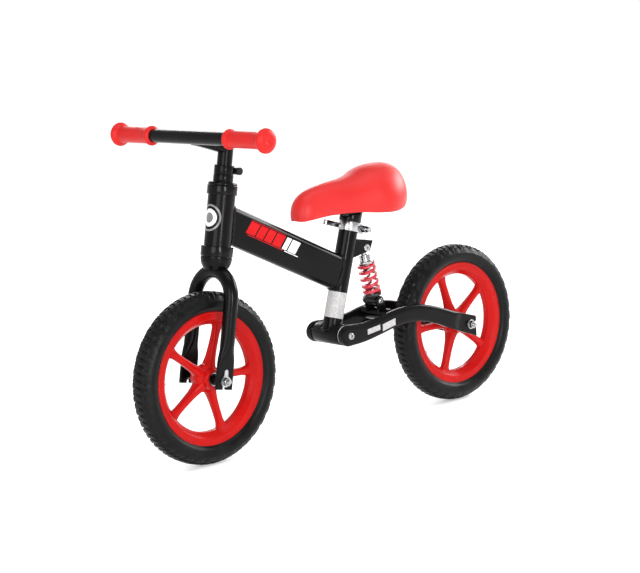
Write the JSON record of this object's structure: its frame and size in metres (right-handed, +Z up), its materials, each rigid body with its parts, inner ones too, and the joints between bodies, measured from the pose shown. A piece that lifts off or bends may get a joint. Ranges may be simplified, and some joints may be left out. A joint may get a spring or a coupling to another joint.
{
  "type": "balance bike",
  "caption": "Child's pedal-free balance bike: sprung swingarm, moulded spoked wheels with foam tyres, long saddle and height-adjustable bar with mushroom grips.",
  "frame": {"origin": "on the floor under the middle of the bike, halfway between the two axles", "axes": "+X forwards, the way it rolls; +Y to the rider's left; +Z up"},
  "size_m": [0.884, 0.392, 0.565],
  "materials": {
    "black_paint": "gloss black powder coat, lightly orange-peeled",
    "zinc_steel": "zinc-plated, satin",
    "black_steel": "black oxide, satin",
    "black_plastic": "fine-textured moulded nylon",
    "white_plastic": "smooth acetal",
    "red_plastic": "moulded polypropylene, satin gloss",
    "eva_tyre": "moulded EVA foam, matte with glossy shoulders",
    "red_rubber": "soft moulded rubber, satin",
    "saddle_skin": "smooth integral-skin foam, soft sheen",
    "spring_red": "gloss red coated spring wire"
  },
  "bodies": {
    "frame": {"head_tube": "black_paint", "main_tube": "black_paint", "seat_tube": "black_paint", "pivot_tube": "black_paint", "upper_shock_bracket": "black_paint", "upper_headset_cup": "black_plastic", "lower_headset_cup": "black_plastic", "headset_bearings": "zinc_steel", "seat_post_shim": "black_plastic", "seat_clamp": "zinc_steel", "clamp_skewer": "zinc_steel", "clamp_nut": "zinc_steel", "pivot_bushes": "white_plastic", "upper_shock_bolt": "zinc_steel"},
    "clamp_lever": {"qr_lever": "zinc_steel"},
    "fork": {"steerer_tube": "black_paint", "fork_crown": "black_paint", "fork_legs": "black_paint", "headset_cap": "black_plastic", "stem_clamp": "black_paint", "stem_clamp_bolt": "black_steel", "front_axle": "zinc_steel", "front_spacers": "black_plastic", "front_tab_washers": "zinc_steel", "front_axle_nuts": "zinc_steel"},
    "handlebar": {"stem_tube": "black_paint", "stem_arm": "black_paint", "handlebar": "black_paint", "left_grip": "red_rubber", "right_grip": "red_rubber"},
    "seat": {"seat_post": "black_steel", "saddle_collar": "black_plastic", "saddle_bracket": "black_steel", "saddle_screws": "black_steel", "saddle_base": "black_plastic", "saddle": "saddle_skin"},
    "front_wheel": {"front_tyre": "eva_tyre", "front_rim": "red_plastic", "front_bearings": "zinc_steel"},
    "rear_wheel": {"rear_tyre": "eva_tyre", "rear_rim": "red_plastic", "rear_bearings": "zinc_steel"},
    "swingarm": {"left_swingarm": "black_paint", "right_swingarm": "black_paint", "swingarm_bridge": "black_paint", "lower_shock_lugs": "black_paint", "pivot_bolt": "zinc_steel", "pivot_nut": "zinc_steel", "lower_shock_bolt": "zinc_steel", "rear_axle": "zinc_steel", "rear_spacers": "black_plastic", "rear_washers": "zinc_steel", "rear_axle_nuts": "zinc_steel"},
    "shock_upper": {"shock_body": "zinc_steel", "shock_spring": "spring_red"},
    "shock_lower": {"shock_rod": "black_steel"}
  },
  "joints": [
    {"name": "steering", "type": "hinge", "parent": "frame", "child": "fork", "pos_m": [0.297, 0, 0.145], "axis": [-0.1857, 0, 0.9826], "range_deg": [-90, 90]},
    {"name": "handlebar_height", "type": "slide", "parent": "fork", "child": "handlebar", "axis": [-0.1857, 0, 0.9826], "range_m": [-0.015, 0.05]},
    {"name": "front_wheel_spin", "type": "hinge", "parent": "fork", "child": "front_wheel", "pos_m": [0.297, 0, 0.145], "axis": [0, 1, 0], "continuous": true},
    {"name": "swingarm_pivot", "type": "hinge", "parent": "frame", "child": "swingarm", "pos_m": [0.009, 0, 0.173], "axis": [0, 1, 0], "range_deg": [0, 6], "stiffness_Nm_per_rad": 300, "springref_deg": -2.86},
    {"name": "rear_wheel_spin", "type": "hinge", "parent": "swingarm", "child": "rear_wheel", "pos_m": [-0.297, 0, 0.145], "axis": [0, 1, 0], "continuous": true},
    {"name": "shock_tilt", "type": "hinge", "parent": "frame", "child": "shock_upper", "pos_m": [-0.074, 0, 0.315], "axis": [0, 1, 0], "range_deg": [-1.75, 0]},
    {"name": "shock_slide", "type": "slide", "parent": "shock_upper", "child": "shock_lower", "axis": [0.218, 0, 0.976], "range_m": [0, 0.0125], "deforming": ["shock_spring"]},
    {"name": "seat_height", "type": "slide", "parent": "frame", "child": "seat", "axis": [-0.294, 0, 0.9558], "range_m": [0, 0.06]},
    {"name": "clamp_lever_hinge", "type": "hinge", "parent": "frame", "child": "clamp_lever", "pos_m": [-0.06791, -0.0133, 0.34873], "axis": [-0.294, 0, 0.9558], "range_deg": [-120, 0]}
  ],
  "couplings": [
    {"joint": "shock_tilt", "follows": "swingarm_pivot", "ratio": -0.28411},
    {"joint": "shock_slide", "follows": "swingarm_pivot", "m_per_rad": 0.11035}
  ]
}
